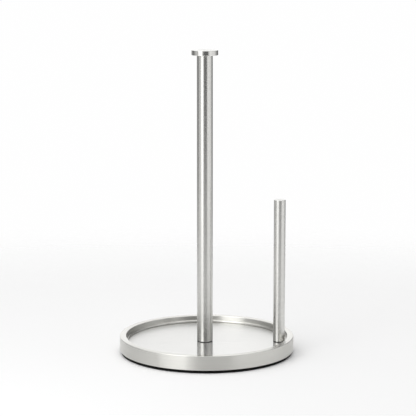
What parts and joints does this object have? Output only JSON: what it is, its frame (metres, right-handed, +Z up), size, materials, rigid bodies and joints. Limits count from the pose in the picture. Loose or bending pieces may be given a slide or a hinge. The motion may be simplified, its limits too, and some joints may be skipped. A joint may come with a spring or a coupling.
{
  "type": "paper towel holder",
  "caption": "Free-standing brushed steel paper towel holder: weighted round tray base with a raised rim, upright post with a disc cap, and a short fixed tear bar at the rim.",
  "frame": {"origin": "centre of the base's outer circle, on the surface that it stands on", "axes": "+Z up along the post, +X from the base's centre towards the tear bar, -Y towards the viewer"},
  "size_m": [0.19, 0.19, 0.33],
  "materials": {
    "steel_spun": "satin, brushed round the rim",
    "steel_floor": "satin, finely brushed",
    "steel_tube": "satin, brushed along the tube",
    "steel_cap": "satin, turned",
    "steel_plug": "machined",
    "steel_plate": "rolled",
    "steel_fastener": "plain zinc",
    "cast_weight": "as cast",
    "pad_rubber": "matt foamed rubber",
    "gasket_rubber": "matt"
  },
  "bodies": {
    "root": {"rim_shell": "steel_spun", "floor_plate": "steel_floor", "ballast_disc": "cast_weight", "closing_plate": "steel_plate", "closing_plate_screws": "steel_fastener", "non_slip_pad": "pad_rubber", "post_tube": "steel_tube", "post_gasket": "gasket_rubber", "post_foot_plug": "steel_plug", "post_screw": "steel_fastener", "post_washer": "steel_fastener", "post_lock_washer": "steel_fastener", "post_top_plug": "steel_plug", "cap_stud": "steel_fastener", "post_cap": "steel_cap", "tear_bar_tube": "steel_tube", "tear_bar_gasket": "gasket_rubber", "tear_bar_foot_plug": "steel_plug", "tear_bar_screw": "steel_fastener", "tear_bar_washer": "steel_fastener", "tear_bar_lock_washer": "steel_fastener", "tear_bar_end_cap": "steel_cap"}
  },
  "joints": []
}
